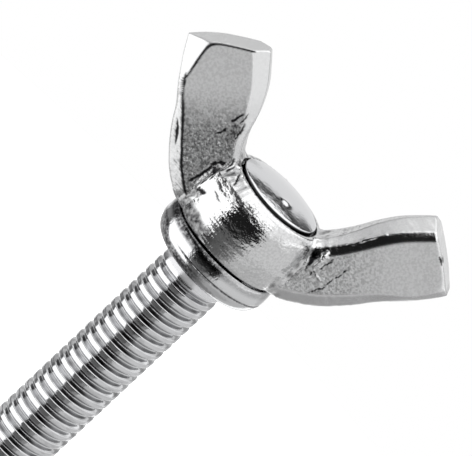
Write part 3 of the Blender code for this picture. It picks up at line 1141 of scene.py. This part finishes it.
def make_collar():
    """The collar, turned from a profile of two elliptical arcs and a straight bore."""
    _, high = node_box("collar")
    radius = high[0]
    top = high[2]
    upper_radii = (radius - COLLAR_TOP_R, top - COLLAR_WIDEST_Z)
    lower_radii = (radius - COLLAR_SEAT_R, COLLAR_WIDEST_Z)
    profile = arc((COLLAR_TOP_R, COLLAR_WIDEST_Z), upper_radii, 90, 0, COLLAR_TOP_STEPS)
    profile += arc((COLLAR_SEAT_R, COLLAR_WIDEST_Z), lower_radii, 0, -90, COLLAR_SIDE_STEPS)[1:]
    bore = NECK_R + FIT_GAP
    profile += [(bore, 0.0), (bore, top), profile[0]]
    rings = turned_rows(profile, COLLAR_COLUMNS)
    groove = GROOVE_DEPTH * collar_groove(rings)
    rings[..., :2] *= (1 - groove / np.hypot(rings[..., 0], rings[..., 1]))[..., None]
    mesh = close_and_save(grid_mesh(rings), "collar_fine")
    set_attribute(mesh, "painted_shade_and_dark_marks", collar_painted_shade(mesh_points(mesh), top))
    new_piece("collar_ring", mesh, "collar", turned_steel())


# ---------------------------------------------------------------- studio

# Brightness of the light tent, and its walls: azimuth from and to, in degrees from the front
# towards +X, elevation from and to, and brightness. Later walls stand in front of earlier ones.
TENT_BASE = 1.4
TENT_WALLS = (
    (-184, -118, -90, 29, 0.85),
    (148, 184, -90, 29, 0.85),
    (-155, -95, -22, 29, 0.6),
    (120, 155, -22, 29, 0.55),
    (150, 184, 5, 29, 0.82),
    (-184, -150, 5, 29, 0.82),
    (-184, -150, 5, 16, 0.6),
    (-125, -20, -54, 8, 0.2),
    (-125, -80, 8, 26, 0.55),
    (-125, -80, 24, 55, 0.8),
    (-80, -18, 6, 30, 0.12),
    (-155, -120, -22, 10, 0.22),
    (-122, -102, -22, 8, 0.14),
    (-108, -34, -64, 5, 1.5),
    (-118, -72, -50, -29, 1.5),
    (14, 130, -90, -20, 0.55),
    (14, 95, -70, -42, 0.42),
    (14, 130, -22, 4, 0.7),
    (14, 62, -22, 10, 0.7),
    (28, 118, 10, 48, 0.98),
    (-30, 19, -90, 14, 0.3),
    (-34, 4, -60, -16, 0.13),
    (-35, 25, -16, 13, 0.012),
    (150, 184, 30, 42, 0.02),
    (-184, -150, 30, 42, 0.02),
    (150, 167, 20, 34, 0.1),
    (140, 184, 41, 62, 1.3),
    (-184, -140, 41, 62, 1.3),
    (-184, 184, -90, -64, 0.25),
)
# How far to either side of a wall's edge it fades, in degrees
TENT_SOFT = 2.5


def make_world():
    """A light tent around the object, with a plain white background behind it."""
    world = bpy.data.worlds.new("light_tent")
    bpy.context.scene.world = world
    world.use_nodes = True
    tree = world.node_tree
    direction = tree.nodes.new("ShaderNodeSeparateXYZ")
    tree.links.new(tree.nodes.new("ShaderNodeTexCoord").outputs["Generated"], direction.inputs[0])
    x, y, z = direction.outputs
    azimuth = maths(tree, "DEGREES", maths(tree, "ARCTAN2", x, maths(tree, "MULTIPLY", y, -1.0)))
    elevation = maths(tree, "DEGREES", maths(tree, "ARCSINE", z))
    level = TENT_BASE
    for left, right, low, high, brightness in TENT_WALLS:
        mask = 1.0
        for angle, start, end in ((azimuth, left, right), (elevation, low, high)):
            rise = ramp(tree, angle, start - TENT_SOFT, start + TENT_SOFT)
            fall = ramp(tree, angle, end - TENT_SOFT, end + TENT_SOFT, 1.0, 0.0)
            mask = maths(tree, "MULTIPLY", mask, maths(tree, "MULTIPLY", rise, fall))
        change = maths(tree, "MULTIPLY", maths(tree, "SUBTRACT", brightness, level), mask)
        level = maths(tree, "ADD", level, change)
    seen = tree.nodes.new("ShaderNodeLightPath").outputs["Is Camera Ray"]
    unseen = maths(tree, "SUBTRACT", 1.0, seen)
    strength = maths(tree, "ADD", maths(tree, "MULTIPLY", level, unseen), seen)
    tree.links.new(strength, tree.nodes["Background"].inputs["Strength"])
    tree.nodes["Background"].inputs["Color"].default_value = (1, 1, 1, 1)


def make_floor():
    """A round white sheet just under the stud's tip."""
    bm = bmesh.new()
    bmesh.ops.create_circle(bm, cap_ends=True, segments=FLOOR_SIDES, radius=FLOOR_RADIUS * MM)
    mesh = bpy.data.meshes.new("floor")
    bm.to_mesh(mesh)
    bm.free()
    floor = bpy.data.objects.new("floor", mesh)
    floor.location.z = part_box("threaded_stud")[0][2] - FLOOR_CLEARANCE * MM
    bpy.context.scene.collection.objects.link(floor)
    material, _, shader = new_material("white_sheet", FLOOR_COLOUR)
    shader.inputs["Metallic"].default_value = 0.0
    shader.inputs["Roughness"].default_value = FLOOR_ROUGHNESS
    shader.inputs["Emission Color"].default_value = (1, 1, 1, 1)
    shader.inputs["Emission Strength"].default_value = FLOOR_GLOW
    mesh.materials.append(material)
    floor.visible_glossy = False


def make_camera():
    """A long lens, rolled so that the screw lies along the frame's diagonal."""
    azimuth = math.radians(CAMERA_AZIMUTH)
    elevation = math.radians(CAMERA_ELEVATION)
    level = math.cos(elevation)
    back = Vector((math.sin(azimuth) * level, -math.cos(azimuth) * level, math.sin(elevation)))
    data = bpy.data.cameras.new("camera")
    data.lens = CAMERA_LENS
    data.sensor_width = SENSOR_WIDTH
    data.clip_start, data.clip_end = CAMERA_REACH
    camera = bpy.data.objects.new("camera", data)
    bpy.context.scene.collection.objects.link(camera)
    distance = FIELD_WIDTH / SENSOR_WIDTH * CAMERA_LENS
    camera.location = (CAMERA_TARGET + back * distance) * MM
    camera.rotation_mode = "QUATERNION"
    roll = Quaternion((0.0, 0.0, 1.0), math.radians(CAMERA_ROLL))
    camera.rotation_quaternion = (-back).to_track_quat("-Z", "Y") @ roll
    bpy.context.scene.camera = camera


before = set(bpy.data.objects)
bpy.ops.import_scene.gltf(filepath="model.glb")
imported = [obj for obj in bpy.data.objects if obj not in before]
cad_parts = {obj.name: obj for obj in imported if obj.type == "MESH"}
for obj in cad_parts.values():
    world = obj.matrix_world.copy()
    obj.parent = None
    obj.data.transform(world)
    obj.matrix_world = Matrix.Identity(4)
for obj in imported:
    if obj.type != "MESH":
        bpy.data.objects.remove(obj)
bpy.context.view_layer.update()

make_camera()
make_world()
make_floor()
make_wing_head(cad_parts["wing_head"])
make_collar()
make_stud()

bpy.context.scene.view_settings.view_transform = "Standard"
